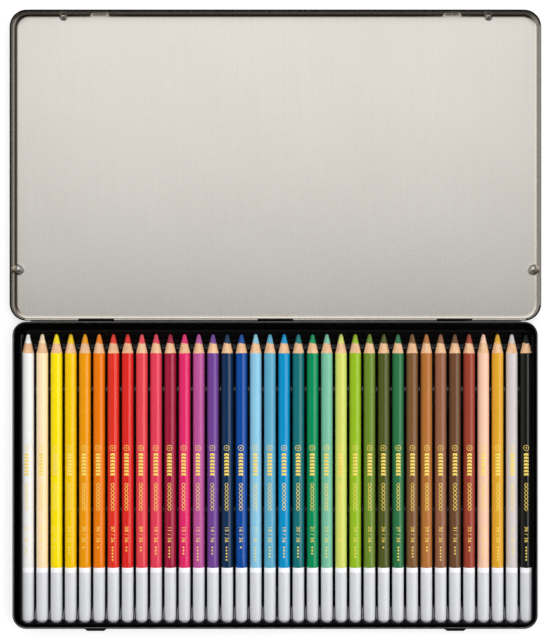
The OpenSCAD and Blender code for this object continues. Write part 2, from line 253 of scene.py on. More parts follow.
# %% Mottle: soft clouds and fine specks
mottle, given, out, _ = new_tree(
    "Soft Mottle", "ShaderNodeTree",
    [("Color", "Color", (0.5, 0.5, 0.5, 1)), ("Amount", "Float", 0.08),
     ("Cloud Scale", "Float", 60.0), ("Speck Scale", "Float", 900.0),
     ("Rough Low", "Float", 0.25), ("Rough High", "Float", 0.35)], SURFACE)
place = object_place(mottle)
clouds = noise(mottle, place, given["Cloud Scale"], 3.0, 0.55)
specks = noise(mottle, place, given["Speck Scale"], 2.0, 0.6)
both = weighted(mottle, (clouds, 0.6), (specks, 0.4))
swing = math_node(mottle, "MULTIPLY", math_node(mottle, "SUBTRACT", both, 0.5),
                  math_node(mottle, "MULTIPLY", given["Amount"], 10.0))
fill(mottle, out, {
    "Color": mix_colour(mottle, 1.0, given["Color"], math_node(mottle, "ADD", swing, 1.0),
                        "MULTIPLY"),
    "Roughness": ranged(mottle, both, 0.35, 0.65, given["Rough Low"], given["Rough High"]),
    "Height": both})
print("group", mottle.name, "with", len(mottle.nodes), "nodes")

# %% Tinplate: rolled steel with a fine frosty grain
tin_grain, given, out, _ = new_tree(
    "Rolled Tin Grain", "ShaderNodeTree",
    [("Color", "Color", (0.8, 0.78, 0.74, 1)), ("Shade", "Color", (0.6, 0.58, 0.54, 1)),
     ("Grain Scale", "Float", 1300.0), ("Rough Low", "Float", 0.36),
     ("Rough High", "Float", 0.5)], SURFACE)
place = object_place(tin_grain)
frost = noise(tin_grain, place, given["Grain Scale"], 1.0)
rolling = noise(tin_grain, stretched(tin_grain, place, 0.03), 500.0, 2.0)
patches = noise(tin_grain, place, 14.0, 2.0)
grain = weighted(tin_grain, (frost, 0.7), (rolling, 0.12), (patches, 0.18))
fleck = ranged(tin_grain, grain, 0.25, 0.75, 0.0, 1.0)
fill(tin_grain, out, {
    "Color": mix_colour(tin_grain, fleck, given["Shade"], given["Color"]),
    "Roughness": ranged(tin_grain, frost, 0.3, 0.7, given["Rough Low"], given["Rough High"]),
    "Height": frost})
print("group", tin_grain.name, "with", len(tin_grain.nodes), "nodes")

# %% Cedar: long fibres, darker pores and a slow change of tone
cedar, given, out, _ = new_tree(
    "Cedar Fibres", "ShaderNodeTree",
    [("Light", "Color", (0.86, 0.66, 0.48, 1)), ("Dark", "Color", (0.62, 0.38, 0.24, 1)),
     ("Fibre Scale", "Float", 900.0)], SURFACE)
lengthwise = stretched(cedar, object_place(cedar), 0.06)
fibres = noise(cedar, lengthwise, given["Fibre Scale"], 4.0, 0.6)
year_rings = noise(cedar, lengthwise, 260.0, 2.0)
pick = ranged(cedar, weighted(cedar, (fibres, 0.6), (year_rings, 0.4)), 0.36, 0.64, 0.0, 1.0)
fill(cedar, out, {
    "Color": mix_colour(cedar, pick, given["Dark"], given["Light"]),
    "Roughness": ranged(cedar, fibres, 0.3, 0.7, 0.62, 0.5),
    "Height": fibres})
print("group", cedar.name, "with", len(cedar.nodes), "nodes")

# %% Build a material round one of the groups
def srgb(r, g, b):
    """A colour written as on screen, 0 to 255, as the linear values that a shader takes."""
    return tuple(((v / 255 + 0.055) / 1.055) ** 2.4 if v > 10 else v / 255 / 12.92
                 for v in (r, g, b)) + (1.0,)


def new_material(name, group, group_values, bump_mm, painted_shade_colour=None, **shader_values):
    """painted_shade_colour, if given, is the colour towards which the mesh's own painted_shade_mask
    values darken, a painted shade.
    """
    material = bpy.data.materials.new(name)
    material.use_nodes = True
    tree = material.node_tree
    source = add(tree, "ShaderNodeGroup", group_values, node_tree=group)
    colour = source.outputs["Color"]
    if painted_shade_colour:
        painted_shade_mask = add(tree, "ShaderNodeAttribute", {}, attribute_name="painted_shade_mask")
        colour = mix_colour(tree, painted_shade_mask.outputs["Fac"], colour, painted_shade_colour)
    bump = add(tree, "ShaderNodeBump", {
        "Strength": 1.0, "Distance": bump_mm * MM, "Height": source.outputs["Height"]})
    fill(tree, tree.nodes["Principled BSDF"], {
        "Base Color": colour, "Roughness": source.outputs["Roughness"],
        "Normal": bump.outputs["Normal"],
        **{key.replace("_", " "): value for key, value in shader_values.items()}})
    return material


def tinned(name, colour, shade, rough, bump_mm):
    # srgb(62, 50, 42) below is painted shade: the brown dark reflection painted beside the foot of
    # the lid's left and far walls
    return new_material(name, tin_grain, {
        "Color": srgb(*colour), "Shade": srgb(*shade), "Rough Low": rough[0],
        "Rough High": rough[1]}, bump_mm, painted_shade_colour=srgb(62, 50, 42), Metallic=1.0)


def mottled(name, colour, amount, clouds, rough, bump_mm, specks=900.0, **shader_values):
    return new_material(name, mottle, {
        "Color": srgb(*colour), "Amount": amount, "Cloud Scale": clouds, "Speck Scale": specks,
        "Rough Low": rough[0], "Rough High": rough[1]}, bump_mm, **shader_values)

# %% [markdown]
# ## Finishes of the tin and the tray
#
# The lid's inside is bare tinplate, a satin metal whose grain shows as a frosty sparkle. The
# press has burnished its walls, which are shinier than the flat panel. Its outside and the whole
# base are coated in black lacquer, baked on and smooth, with the faint unevenness of a sprayed
# film. The base's rolled rim is given a lighter black and a brighter gloss than the rest of the
# lacquer, a painted highlight along the rim. The tray is black polystyrene sheet, drawn over a
# mould while hot, so it is glossy but a little wavy.

# %% Metals, lacquer and plastic
tinplate = tinned("tinplate", (238, 235, 229), (214, 210, 203), rough=(0.32, 0.40), bump_mm=0.002)
drawn_tinplate = tinned("drawn_tinplate", (228, 222, 212), (206, 198, 186), rough=(0.20, 0.27),
                        bump_mm=0.001)
black_lacquer = mottled("black_lacquer", (9, 9, 10), amount=0.03, clouds=45.0, rough=(0.18, 0.26),
                        bump_mm=0.002, Specular_IOR_Level=0.15)
# the base's rolled rim: a lighter black than the rest of the lacquer, a painted highlight, with a
# glossier coat
rim_lacquer_painted_highlight = mottled("rim_lacquer_painted_highlight", (22, 22, 24), amount=0.03, clouds=45.0, rough=(0.16, 0.22),
                      bump_mm=0.001, Specular_IOR_Level=0.8, Coat_Weight=0.6, Coat_Roughness=0.1)
black_plastic = mottled("black_plastic", (9, 9, 10), amount=0.03, clouds=80.0, rough=(0.16, 0.22),
                        bump_mm=0.002, Specular_IOR_Level=0.5)
print("materials:", *(m.name for m in (tinplate, drawn_tinplate, black_lacquer, rim_lacquer_painted_highlight,
                                       black_plastic)))

# %% [markdown]
# ## Pressed pans
#
# Base and lid are each one sheet of tinplate, drawn into a shallow pan whose edge is rolled.
# Such a pan is one section carried round a rectangle with round corners. The section is drawn
# as the middle line of the sheet and thickened both ways, so inside and outside are separate
# skins and can have different finishes. Stations along each side are closer together where
# something is pressed into the sheet.

# %% Stations round a rectangle with round corners
CORNER_STEPS = 14


def stations(width, length, corner, extra):
    """Corner-line points, outward directions and side names, anticlockwise from the right side.
    extra gives, for each side, the places along it that need a station."""
    arc = [(math.cos(t), math.sin(t)) for t in np.linspace(0, math.pi / 2, CORNER_STEPS + 1)[1:-1]]
    half_x, half_y = width / 2 - corner, length / 2 - corner
    line = []
    for side, nx, ny in (("right", 1.0, 0.0), ("back", 0.0, 1.0), ("left", -1.0, 0.0),
                         ("front", 0.0, -1.0)):
        tx, ty = -ny, nx
        out, half = (half_x, half_y) if nx else (half_y, half_x)
        places = [(tx + ty) * v for v in extra[side] if abs(v) < half]
        line += [(nx * out + tx * v, ny * out + ty * v, nx, ny, side)
                 for v in sorted({-half, half, *places})]
        line += [(nx * out + tx * half, ny * out + ty * half, nx * c + tx * s, ny * c + ty * s,
                  "corner") for c, s in arc]
    return line


def bend(cx, cz, radius, start, stop, steps):
    return [(cx + radius * math.cos(math.radians(t)), cz + radius * math.sin(math.radians(t)))
            for t in np.linspace(start, stop, steps + 1)]


def ramp(value, low, high):
    """A soft step from 0 to 1."""
    t = np.clip((value - low) / (high - low), 0.0, 1.0)
    return t * t * (3 - 2 * t)


def skins(middle, thickness):
    """Offsets a middle line to its right (outer skin) and left (inner skin)."""
    line = np.array(middle, float)
    step = np.gradient(line, axis=0)
    step /= np.linalg.norm(step, axis=1)[:, None]
    left = np.stack([-step[:, 1], step[:, 0]], axis=1)
    return line - left * thickness / 2, line + left * thickness / 2


ROLL_ANGLE, ROLL_STEPS = 285, 15


def pan_middle(reach, panel_rows, foot_line, wall_rows, roll_r, roll_z):
    """The section of a pan from its panel to its rolled edge, and the points before the roll."""
    half = SHEET / 2
    line = [(0.0, half)] + [(reach - v, half) for v in panel_rows] + foot_line
    line += [(reach - half, z) for z in wall_rows]
    roll = bend(reach - roll_r, roll_z, roll_r - half, 0, ROLL_ANGLE, ROLL_STEPS)
    return line + roll, len(line)

# %% Carry a section round the stations
def pressed_pan(line, section_at, move, marks, windows=(), window_rows=(0, 0)):
    """section_at(i) gives the middle line at a station, and move(points, side) shifts its points.
    marks(side, k, outside) gives the material of a face. A window is a side and the two places
    between which the sheet is cut out, from one row of points of the section to another."""
    n, count = len(line), len(section_at(0))
    skin_points = np.zeros((2, n, count, 3))
    for i, (cx, cy, nx, ny, side) in enumerate(line):
        middle = np.array(section_at(i), float)

        def carried(section):
            return np.stack([cx + nx * section[:, 0], cy + ny * section[:, 0], section[:, 1]],
                            axis=1)

        shift = move(carried(middle), side)
        for which, skin in enumerate(skins(middle, SHEET)):
            skin[:, 0] = np.maximum(skin[:, 0], 0.0)
            skin_points[which, i] = carried(skin) + shift

    OUT, IN, NEAR = 0, 1, 1e-6
    faces, face_marks = [], []

    def number(skin, i, k):
        return (skin * n + i % n) * count + k

    def face(corners, side, k, outside):
        faces.append(tuple(number(*c) for c in corners))
        face_marks.append(marks(side, k, outside))

    def edge(i, k, j, m):
        """Closes the sheet between its two skins, from one point of the pan to another."""
        face([(OUT, i, k), (OUT, j, m), (IN, j, m), (IN, i, k)], "", k, False)

    first_k, last_k = window_rows
    for i in range(n):
        here, there, j = line[i], line[(i + 1) % n], i + 1
        cut = any(side == here[4] == there[4] and low - NEAR <= here[0] and there[0] <= high + NEAR
                  for side, low, high in windows)
        side = here[4] if here[4] != "corner" else there[4]
        for k in range(count - 1):
            if cut and first_k <= k < last_k:
                if k == first_k:
                    edge(i, k, j, k)
                if k + 1 == last_k:
                    edge(i, k + 1, j, k + 1)
                continue
            face([(OUT, i, k), (OUT, j, k), (OUT, j, k + 1), (OUT, i, k + 1)], side, k, True)
            face([(IN, i, k), (IN, i, k + 1), (IN, j, k + 1), (IN, j, k)], side, k, False)
        edge(i, count - 1, j, count - 1)
    for side, low, high in windows:
        for i, (place, *_, its_side) in enumerate(line):
            if its_side == side and min(abs(place - low), abs(place - high)) < NEAR:
                for k in range(first_k, last_k):
                    edge(i, k, i, k + 1)
    for skin in (OUT, IN):
        face([(skin, i, 0) for i in range(n)], "", 0, skin == OUT)
    return skin_points.reshape(-1, 3), faces, face_marks

# %% [markdown]
# ## Lid
#
# The lid is bare inside and black outside. Round most of the lid the black coat ends just past the
# top of the hem, where it shows as a thin dark line. On the right side it ends at the top of the
# hem, so that the bare tin of the hem's inner side shows there as a painted highlight, and on the
# hinge side it ends where the hem begins. Four stops are pressed up near the walls, two pads
# square off the foot of the far wall, and three slots let the hinge tabs through. The stops and
# pads are made by moving the sheet's points, as a press does. Beside the foot of the left and far
# walls the panel darkens into a brown band of painted shade, a dark reflection, which the mesh
# carries as an attribute.

# %% The lid's section and its pressed features
PANEL_ROWS = (10.0, 9.0, 8.4, 7.8, 7.2, 6.7, 6.2, 5.7, 5.2, 4.7, 4.2, 3.8, 3.4)
WALL_ROWS = (3.5, 4.2, 4.9, 5.55, 6.0, 6.45)
PAD_BEND = 0.75
LID_PANEL, LID_BLACK, LID_WALL = range(3)


def lid_middle(foot, square_off=0.0):
    """The foot is a round bend, which blends into a square one where the lid is squared off."""
    half, reach = SHEET / 2, LID_CORNER
    soft = bend(reach - foot, foot, foot - half, -90, 0, 12)
    hard = [(x, half) for x in np.linspace(reach - foot, reach - PAD_BEND, 5)[:-1]]
    hard += bend(reach - PAD_BEND, PAD_BEND, PAD_BEND - half, -90, 0, 3)
    hard += [(reach - half, z) for z in np.linspace(PAD_BEND, foot, 6)[1:]]
    foot_line = [tuple((1 - square_off) * s + square_off * h for s, h in zip(*pair))
                 for pair in zip(soft, hard)]
    return pan_middle(reach, PANEL_ROWS, foot_line, WALL_ROWS, HEM_R, HINGE_Z)

# each stop is a cap of a ball: its place and how wide it is
STOP_H, STOP_BLEND, STOP_UNDER_Z = 2.2, 0.45, 3.4
side_x, side_y = LID_W / 2 - 3.9, -LID_LEN / 2 + 31.2
front_x, front_y = 129.0, LID_LEN / 2 - 2.7
stops = [(s * x, y, across) for x, y, across in ((side_x, side_y, 6.0), (front_x, front_y, 4.6))
         for s in (-1, 1)]
PAD_X, PAD_HALF = 107.0, 6.0
TAB_X, TAB_HALF, SLOT_HALF = 108.0, 10.7, 11.2


def lid_move(points, side):
    shift = np.zeros_like(points)
    for sx, sy, across in stops:
        ball = (across * across / 4 + STOP_H * STOP_H) / (2 * STOP_H)
        d2 = (points[:, 0] - sx) ** 2 + (points[:, 1] - sy) ** 2
        near = d2 < ball * ball * 0.98  # the ball has a height only inside its own radius
        cap = SHEET / 2 + STOP_H - ball + np.sqrt(np.maximum(ball * ball - d2, 0.0))
        z = points[:, 2]
        h = np.clip(0.5 + 0.5 * (cap - z) / STOP_BLEND, 0.0, 1.0)
        smooth = z * (1 - h) + cap * h + STOP_BLEND * h * (1 - h)
        shift[:, 2] += np.where(near & (z < STOP_UNDER_Z), np.maximum(smooth - z, 0.0), 0.0)
    return shift

fine = np.linspace(-3.6, 3.6, 19)
pad_edges = [s * PAD_X + e for s in (-1, 1)
             for e in (*np.linspace(-6.4, -3.4, 9), *np.linspace(3.4, 6.4, 9))]
beside_stop = [side_y + v for v in fine] + list(range(-80, 81, 20))
lid_line = stations(LID_W, LID_LEN, LID_CORNER, {
    "right": beside_stop, "left": beside_stop,
    "back": [s * front_x + v for s in (-1, 1) for v in fine] + pad_edges + list(range(-90, 91, 30)),
    "front": [p * TAB_X + s * SLOT_HALF for p in (-1, 0, 1) for s in (-1, 1)]
             + list(range(-80, 81, 20))})


def lid_section(i):
    """The foot is tighter on the hinge side, and squared off along the pads."""
    cx, _, _, ny, side = lid_line[i]
    foot = LID_FOOT - 0.5 * max(-ny, 0.0) ** 2
    to_pad = abs(abs(cx) - PAD_X)
    off = float(1 - ramp(to_pad, PAD_HALF - 2.4, PAD_HALF + 0.4)) if side == "back" else 0.0
    return lid_middle(foot, off)[0]

rolled_from = lid_middle(LID_FOOT)[1]
SLOT_ROWS = (rolled_from - 3, rolled_from)
# how many rows of the hem the black coat covers, on two sides and elsewhere; on the right side
# fewer rows leave bare tin showing on the hem as a painted highlight
COAT_ROWS_WITH_PAINTED_HIGHLIGHT, OTHER_COAT_ROWS = {"front": 0, "right": 5}, 8


def lid_marks_at(side, k, outside):
    if outside and k < rolled_from + COAT_ROWS_WITH_PAINTED_HIGHLIGHT.get(side, OTHER_COAT_ROWS):
        return LID_BLACK
    return LID_WALL if k >= len(PANEL_ROWS) else LID_PANEL

lid_points, lid_faces, lid_marks = pressed_pan(
    lid_line, lid_section, lid_move, lid_marks_at,
    [("front", p * TAB_X - SLOT_HALF, p * TAB_X + SLOT_HALF) for p in (-1, 0, 1)], SLOT_ROWS)
lid_points[:, 1] += LID_Y
lid = make_piece("lid_pan", (lid_points, lid_faces, lid_marks),
                 [tinplate, black_lacquer, drawn_tinplate])


def painted_shade_at(x, y):
    """0 to 1: painted shade, a dark reflection painted beside the foot of the left and far walls,
    broken at the pads and round the stops.
    """
    in_x, in_y = np.abs(x) - (LID_W / 2 - LID_CORNER), np.abs(y) - (LID_LEN / 2 - LID_CORNER)
    past_x, past_y = np.maximum(in_x, 0), np.maximum(in_y, 0)
    out = np.hypot(past_x, past_y)
    from_edge = LID_CORNER - out - np.minimum(np.maximum(in_x, in_y), 0)
    turn = np.where(out > 0, np.arctan2(past_y, np.maximum(in_x, 1e-9)),
                    np.where(in_x > in_y, 0, math.pi / 2))
    left = np.where(x < 0, np.cos(turn) ** 2, 0.0)
    far = np.where(y > 0, np.sin(turn) ** 2, 0.0)
    pads = (1 - ramp(np.abs(np.abs(x) - PAD_X), PAD_HALF - 2.0, PAD_HALF + 2.0)) * (y > 0)
    band = ramp(from_edge, 1.5, 2.0) * (1 - ramp(from_edge, 2.9, 3.7))
    for sx, sy, across in stops:
        band *= ramp(np.hypot(x - sx, y - sy), across / 2 - 0.8, across / 2 + 0.4)
    return band * np.clip(1.2 * (left + far * (1 - 0.7 * pads)), 0.0, 1.0)

# painted shade: values for the dark reflection painted beside the foot of the left and far walls,
# kept on the lid's points
corners = np.array([v.co for v in lid.data.vertices]) / MM
values = painted_shade_at(corners[:, 0], corners[:, 1] - LID_Y).astype(np.float32)
lid.data.attributes.new("painted_shade_mask", "FLOAT", "POINT").data.foreach_set("value", values)
finish_piece(lid, "lid", "tinplate", "lid")
print("lid:", len(lid.data.polygons), "faces")

# %% [markdown]
# ## Base
#
# The base is the same kind of pan, all black, with its edge rolled inwards and given a lighter
# black and a brighter gloss there, a painted highlight. Two finger lugs are pressed out of its
# front wall, and three tabs of its rear wall are bent over the lid's hem to make the hinge. The
# tabs are short bent strips with eased edges.

# %% The base's section, lugs and tabs
BASE_PANEL_ROWS = (6.0, 4.0, 2.6)
BASE_WALL_ROWS = (1.7, 1.9, 2.05, 2.2, 2.4, 2.8, 3.4, 4.0, 4.6, 5.2, 5.6, 5.8, 5.95, 6.1, 6.3, 7.5,
                  9.0, 10.2)
LUG_X, LUG_HALF, LUG_FLAT, LUG_REACH = 108.6, 8.0, 5.1, 2.3
LUG_LOW, LUG_HIGH = 2.0, 6.05


def base_move(points, side):
    shift = np.zeros_like(points)
    if side != "front":
        return shift
    from_lug, z = np.abs(np.abs(points[:, 0]) - LUG_X), points[:, 2]
    along = 1 - np.clip((from_lug - LUG_FLAT) / (LUG_HALF - LUG_FLAT), 0.0, 1.0)
    up = ramp(z, LUG_LOW - 0.1, LUG_LOW + 0.35) * (1 - ramp(z, LUG_HIGH - 0.35, LUG_HIGH + 0.05))
    shift[:, 1] = -LUG_REACH * along * up
    return shift

lug_edges = [s * LUG_X + e for s in (-1, 1)
             for e in (*np.linspace(-8.2, -4.0, 11), -2, 2, *np.linspace(4.0, 8.2, 11))]
base_line = stations(BASE_W, BASE_LEN, BASE_CORNER, {
    "right": range(-75, 76, 25), "left": range(-75, 76, 25), "back": range(-120, 121, 30),
    "front": lug_edges + list(range(-90, 91, 30))})
base_foot = bend(BASE_CORNER - BASE_FOOT, BASE_FOOT, BASE_FOOT - SHEET / 2, -90, 0, 8)
section, wall_end = pan_middle(BASE_CORNER, BASE_PANEL_ROWS, base_foot, BASE_WALL_ROWS, CURL_R,
                               BASE_H - CURL_R)
# faces from the rolled rim on take the lighter lacquer, a painted highlight
base_parts = [pressed_pan(base_line, lambda i: section, base_move,
                          lambda side, k, outside: int(k >= wall_end - 1))]


def bent_strip(x_from, x_to, middle, thickness, ease=0.15, thinned=0.72):
    """A strip bent to a middle line of (y, z) points, with its long edges eased."""
    out_skin, in_skin = skins(middle, thickness)
    loop = np.concatenate([out_skin, in_skin[::-1]])
    centre = np.concatenate([middle, middle[::-1]])
    rows = [(x_from, thinned), (x_from + ease, 1.0), (x_to - ease, 1.0), (x_to, thinned)]
    points = [(x, *(c + (p - c) * s)) for x, s in rows for p, c in zip(loop, centre)]
    n = len(loop)
    faces = grid_faces(len(rows), n, around_cols=True)
    for first in (0, (len(rows) - 1) * n):
        faces += [(first + i, first + i + 1, first + n - 2 - i, first + n - 1 - i)
                  for i in range(n // 2 - 1)]
    return points, faces, [0] * len(faces)

TAB_GAP = 0.1
curl = HEM_R + TAB_GAP + SHEET / 2
tab_middle = [(HINGE_Y - v, HINGE_Z + curl) for v in (1.15, 0.9, 0.6, 0.3)]
tab_middle += bend(HINGE_Y, HINGE_Z, curl, 90, -150, 24)
for tab_x in (-TAB_X, 0.0, TAB_X):
    base_parts.append(bent_strip(tab_x - TAB_HALF, tab_x + TAB_HALF, tab_middle, SHEET))
base = make_piece("base_pan", joined(base_parts), [black_lacquer, rim_lacquer_painted_highlight])
finish_piece(base, "base", "black_enamel", "base")
print("base:", len(base.data.polygons), "faces")

# %% [markdown]
# ## Tray
#
# The tray is drawn from one sheet over a mould, so its top is a height field: at each place along
# a pencil the land between the grooves has one height, and the groove cuts into it. One cell, a
# pitch wide, repeats thirty-six times, which is a job for Geometry Nodes: the tree takes the
# cell, copies it along the row and welds the copies. Afterwards the two side rims are added and
# the corners are pulled in to their radius.

# %% The land's height along the pencils
TRAY_T, GROOVE_CLEAR = 0.45, 0.15
TRAY_Z, RIM_Z = tray_low[2], tray_high[2]
FLOOR_Z = TRAY_Z + TRAY_T + 0.2
RIB_Z, BAND_Z, BAR_Z = AXIS_Z - 1.9, AXIS_Z - 0.2, AXIS_Z - 2.5
RIBS_TO = PENCIL_LEN - 7.0
FRONT_S, REAR_S = tray_low[1] - BLUNT_Y, tray_high[1] - BLUNT_Y
# places along a pencil from its blunt end, and the height of the land there
land_knots = [
    (FRONT_S, RIM_Z), (2.2, RIM_Z), (10.0, FLOOR_Z), (39.6, FLOOR_Z), (40.6, RIB_Z),
    (52.8, RIB_Z), (56.3, BAND_Z), (66.9, BAND_Z), (70.4, RIB_Z), (125.6, RIB_Z),
    (129.1, BAND_Z), (139.7, BAND_Z), (143.2, RIB_Z), (RIBS_TO - 2.0, RIB_Z), (RIBS_TO, FLOOR_Z),
    (169.9, FLOOR_Z), (170.45, BAR_Z), (171.55, BAR_Z), (172.1, FLOOR_Z),
    (PENCIL_LEN + 0.3, FLOOR_Z), (PENCIL_LEN + 0.45, RIM_Z), (REAR_S, RIM_Z)]


def land(s, soften=0.35):
    """Height of the land, its corners rounded by averaging a few nearby values."""
    xs, zs = zip(*land_knots)
    return float(np.mean([np.interp(s + d * soften, xs, zs) for d in (-1, -0.5, 0, 0.5, 1)]))


def groove_half_width(s):
    if s > RIBS_TO + 0.6:
        return 0.0
    if s < DOME_LEN:
        return math.sqrt(max((DOME_BALL + GROOVE_CLEAR) ** 2 - (DOME_BALL - s) ** 2, 0.0))
    return BARREL_R + GROOVE_CLEAR


def tray_height(u, s):
    top = land(s)
    half = groove_half_width(s)
    if half < 0.05 or abs(u) >= half:
        return top
    return min(top, AXIS_Z - math.sqrt(max(half * half - u * u, 0.0)))

# %% One cell of the tray as a grid
s_rows = sorted({round(v, 3) for v in (
    FRONT_S, -0.5, -0.2, -0.14, 0.15, 0.6, 1.2, 1.9, 2.3, 2.7, 3.6, 5.5, 8.0, 9.6, 10.4, 20.0,
    30.0, 39.3, 39.8, 40.3, 40.9, 46.0, 52.4, 53.3, 54.6, 55.9, 56.6, 61.0, 66.6, 67.3, 68.6,
    70.0, 70.8, 80.0, 90.0, 100.0, 110.0, 118.0, 125.2, 126.0, 127.4, 128.8, 129.4, 134.0, 139.4,
    140.0, 141.4, 142.9, 143.6, 150.0, 158.0, 165.6, 166.4, 167.0, 167.6, 168.1, 168.55, 168.62,
    169.5, 169.8, 170.1, 170.4, 170.8, 171.2, 171.6, 171.9, 172.2, 172.6, 174.0, 175.0, 175.2,
    175.35, 175.5, 175.8, 176.4, REAR_S)})
half_cols = [0.55, 1.6, 2.6, 3.3, 3.6, 3.72, 3.95, PITCH / 2]
u_cols = [-u for u in reversed(half_cols)] + half_cols
cell_points = [(u, s + BLUNT_Y, tray_height(u, s)) for s in s_rows for u in u_cols]
cell = make_piece("tray_cell", (cell_points, grid_faces(len(s_rows), len(u_cols)), []),
                  [black_plastic], recalc=False, weld=0)
print("tray cell:", len(cell_points), "points")

# %% Geometry Nodes: repeat the cell along the row
def repeat_tree():
    tree, given, out, identifiers = new_tree(
        "Repeat Along Row", "GeometryNodeTree",
        [("Geometry", "Geometry"), ("Count", "Int", 36), ("Pitch", "Float", 0.0086),
         ("First X", "Float", 0.0), ("Material", "Material")], [("Geometry", "Geometry")])
    first, step = (add(tree, "ShaderNodeCombineXYZ", {"X": given[name]}).outputs[0]
                   for name in ("First X", "Pitch"))
    row = add(tree, "GeometryNodeMeshLine", {
        "Count": given["Count"], "Start Location": first, "Offset": step})
    copies = add(tree, "GeometryNodeInstanceOnPoints", {
        "Points": row.outputs["Mesh"], "Instance": given["Geometry"]})
    real = add(tree, "GeometryNodeRealizeInstances", {"Geometry": copies.outputs["Instances"]})
    weld = add(tree, "GeometryNodeMergeByDistance", {
        "Geometry": real.outputs["Geometry"], "Distance": 5e-6})
    paint = add(tree, "GeometryNodeSetMaterial", {
        "Geometry": weld.outputs["Geometry"], "Material": given["Material"]})
    fill(tree, out, {"Geometry": paint.outputs["Geometry"]})
    return tree, identifiers


def bake_nodes(piece, tree, identifiers, values):
    """Runs a node tree on an object and returns the result as a plain mesh."""
    modifier = piece.modifiers.new("build", "NODES")
    modifier.node_group = tree
    for label, value in values.items():
        modifier[identifiers[label]] = value
    bpy.context.view_layer.update()
    graph = bpy.context.evaluated_depsgraph_get()
    mesh = bpy.data.meshes.new_from_object(piece.evaluated_get(graph))
    piece.modifiers.remove(modifier)
    return mesh

row_mesh = bake_nodes(cell, *repeat_tree(), {
    "Count": PENCILS, "Pitch": float(PITCH * MM), "First X": float(ROW_X0 * MM),
    "Material": black_plastic})
bpy.data.objects.remove(cell)
print("row of cells:", len(row_mesh.vertices), "points")

# %% Add the side rims and the round corners
tray_mid = (tray_high[:2] + tray_low[:2]) / 2
tray_half = (tray_high[:2] - tray_low[:2]) / 2
edge_x = PITCH * PENCILS / 2


def side_strip(side):
    cols = (edge_x, edge_x + 0.2, tray_half[0])
    points = [(tray_mid[0] + side * x, s + BLUNT_Y, RIM_Z if c else tray_height(PITCH / 2, s))
              for s in s_rows for c, x in enumerate(cols)]
    return points, grid_faces(len(s_rows), len(cols), flip=side < 0), []

top_points, top_faces, _ = joined([mesh_lists(row_mesh), side_strip(-1), side_strip(1)])
top_points = np.array(top_points)

# the outermost lands rise to the full height of the rim, from the barrel's side outwards
outermost = np.abs(top_points[:, 0] - tray_mid[0]) > PITCH * (PENCILS - 1) / 2 + 3.65
top_points[outermost, 2] = np.maximum(top_points[outermost, 2], RIM_Z)

# what lies outside the rounded rectangle moves onto its edge
RIM_AND_PLAY = 2.0
TRAY_CORNER = BASE_CORNER - RIM_AND_PLAY
straight = tray_half - TRAY_CORNER
local = top_points[:, :2] - tray_mid
beyond = np.maximum(np.abs(local) - straight, 0.0)
far = np.linalg.norm(beyond, axis=1)
scale = np.where(far > TRAY_CORNER, TRAY_CORNER / np.maximum(far, 1e-9), 1.0)
pulled_in = np.minimum(np.abs(local), straight) + beyond * scale[:, None]
top_points[:, :2] = tray_mid + np.sign(local) * pulled_in
print("tray top:", len(top_points), "points")

# %% Close the tray with a skirt and an underside, and add the rib in the trough
shell = bmesh.new()
top_vertices = [shell.verts.new(p) for p in top_points]
for face in top_faces:
    shell.faces.new([top_vertices[i] for i in face])
bmesh.ops.remove_doubles(shell, verts=shell.verts, dist=0.004)
bmesh.ops.recalc_face_normals(shell, faces=shell.faces)
if sum(f.normal.z for f in shell.faces) < 0:
    bmesh.ops.reverse_faces(shell, faces=shell.faces)
rim_edges = [e for e in shell.edges if e.is_boundary]
for part in bmesh.ops.extrude_edge_only(shell, edges=rim_edges)["geom"]:
    if isinstance(part, bmesh.types.BMVert):
        part.co.z = TRAY_Z + 0.02
shell.verts.index_update()
upper = np.array([v.co[:] for v in shell.verts])
# the tools above may hand back the points in any order, so they are put in a fixed one
order = np.lexsort(np.round(upper, 4).T)
rank = np.argsort(order).tolist()
upper = upper[order]
upper_faces = sorted(tuple(rank[v.index] for v in f.verts) for f in shell.faces)
open_loop = sorted(tuple(rank[v.index] for v in e.verts) for e in shell.edges if e.is_boundary)
shell.free()

lower = upper.copy()
lower[:, 2] = np.maximum(upper[:, 2] - TRAY_T, TRAY_Z)
for axis in (0, 1):
    outside = np.abs(upper[:, axis] - tray_mid[axis]) > tray_half[axis] - 0.02
    lower[outside, axis] -= np.sign(lower[outside, axis] - tray_mid[axis]) * 0.3
size = len(upper)
sheet_faces = upper_faces + [tuple(size + i for i in f[::-1]) for f in upper_faces]
sheet_faces += [(a, b, size + b, size + a) for a, b in open_loop]

RIB_FOOT_Z = 0.9
rib_outline = [(0.2, RIB_FOOT_Z), (0.2, RIM_Z - 0.9), (2.2, RIM_Z - 0.9), (4.0, RIM_Z - 1.15),
               (20.0, AXIS_Z - 0.2), (21.4, AXIS_Z - 0.7), (21.9, FLOOR_Z + 0.3),
               (22.0, RIB_FOOT_Z)]
rib_rows = [(-0.45, 0.25), (-0.32, 0.0), (0.32, 0.0), (0.45, 0.25)]
rib_points = [(tray_mid[0] + x, BLUNT_Y + s, max(z - drop, RIB_FOOT_Z))
              for x, drop in rib_rows for s, z in rib_outline]
n = len(rib_outline)
rib_faces = grid_faces(len(rib_rows), n, around_cols=True)
rib_faces += [tuple(range(n)), tuple(range(3 * n, 4 * n))]
tray_parts = [(np.concatenate([upper, lower]), sheet_faces, []), (rib_points, rib_faces, [])]
tray = make_piece("tray_sheet", joined(tray_parts), [black_plastic], recalc=False, weld=0.004)
finish_piece(tray, "tray", "black_plastic", "tray")
print("tray:", len(tray.data.polygons), "faces")

# %% [markdown]
# ## Pencils
#
# A round pencil is turned: every part of it is a ring about one axis. The blunt end is dipped in
# silver-grey paint up to a white band, then comes the glossy colour coat, and the sharpener has
# cut a cone through the coat, the cedar and the lead. A cutter never leaves a perfect line, so
# the edge between cedar and lead is a little wavy, each pencil in its own way.

